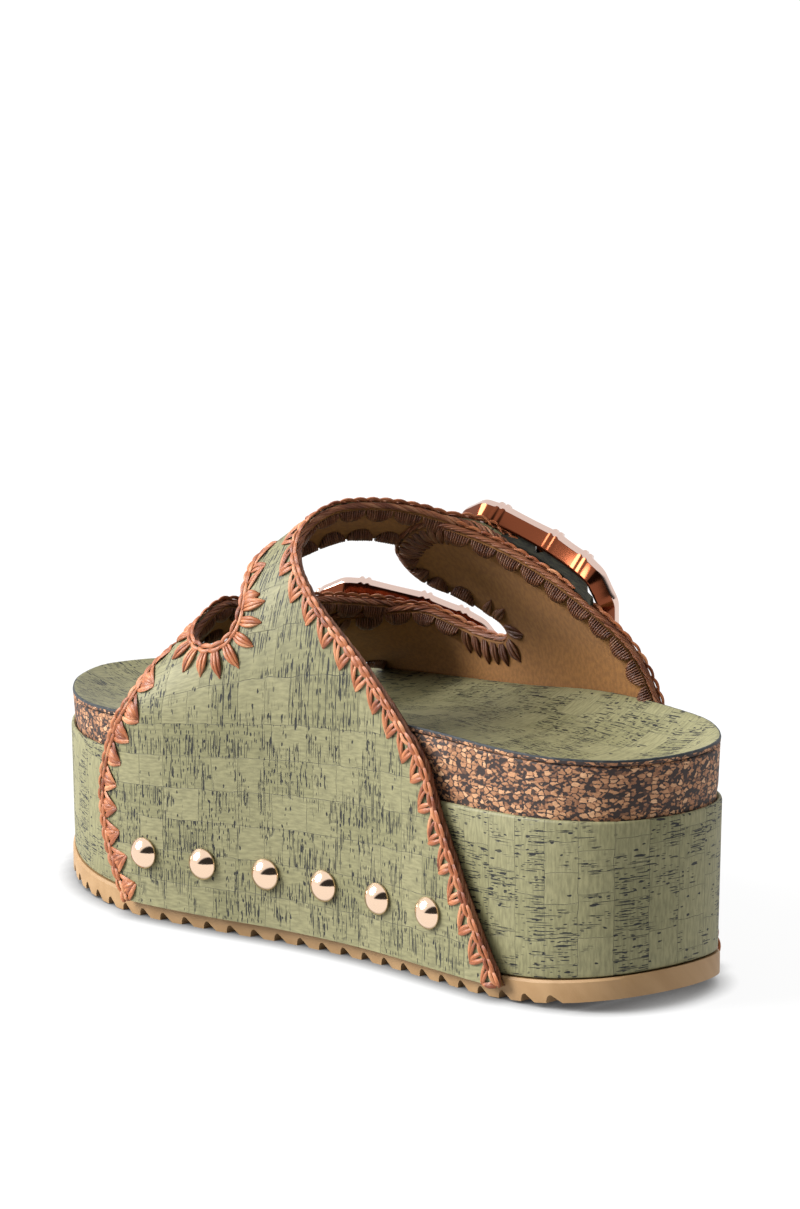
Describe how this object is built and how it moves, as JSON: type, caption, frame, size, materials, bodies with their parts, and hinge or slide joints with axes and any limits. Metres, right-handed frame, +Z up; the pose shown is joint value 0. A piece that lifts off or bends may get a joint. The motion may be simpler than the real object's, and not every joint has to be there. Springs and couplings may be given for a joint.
{
  "type": "flatform sandal",
  "caption": "Open-toe slip-on sandal with a thick flat platform, cork footbed, wide side panels with crochet edging, buckled straps over the instep and domed studs, for the right foot.",
  "frame": {"origin": "floor under the centre of the sandal's bounding box", "axes": "+Z up, +Y from heel to toe, +X towards the outer (lateral) side of the right foot"},
  "size_m": [0.122, 0.25, 0.1255],
  "materials": {
    "rubber": "matt tan moulded rubber",
    "cork_fabric": "sage green natural-cork fabric with dark flecks",
    "cork": "granulated cork, orange chips in a dark binder",
    "rose_metal": "polished rose-gold plating",
    "raffia": "copper-brown raffia yarn, crocheted along the edges",
    "lining": "beige suede-like lining"
  },
  "bodies": {
    "root": {"outsole": "rubber", "platform": "cork_fabric", "footbed": "cork", "insole": "cork_fabric", "upper": "cork_fabric", "buckle_front": "rose_metal", "buckle_rear": "rose_metal", "prong_front": "rose_metal", "prong_rear": "rose_metal", "stud_medial_1": "rose_metal", "stud_medial_2": "rose_metal", "stud_medial_3": "rose_metal", "stud_medial_4": "rose_metal", "stud_medial_5": "rose_metal", "stud_medial_6": "rose_metal", "stud_lateral_1": "rose_metal", "stud_lateral_2": "rose_metal", "stud_lateral_3": "rose_metal", "stud_lateral_4": "rose_metal", "stud_lateral_5": "rose_metal", "stud_lateral_6": "rose_metal"}
  },
  "joints": []
}
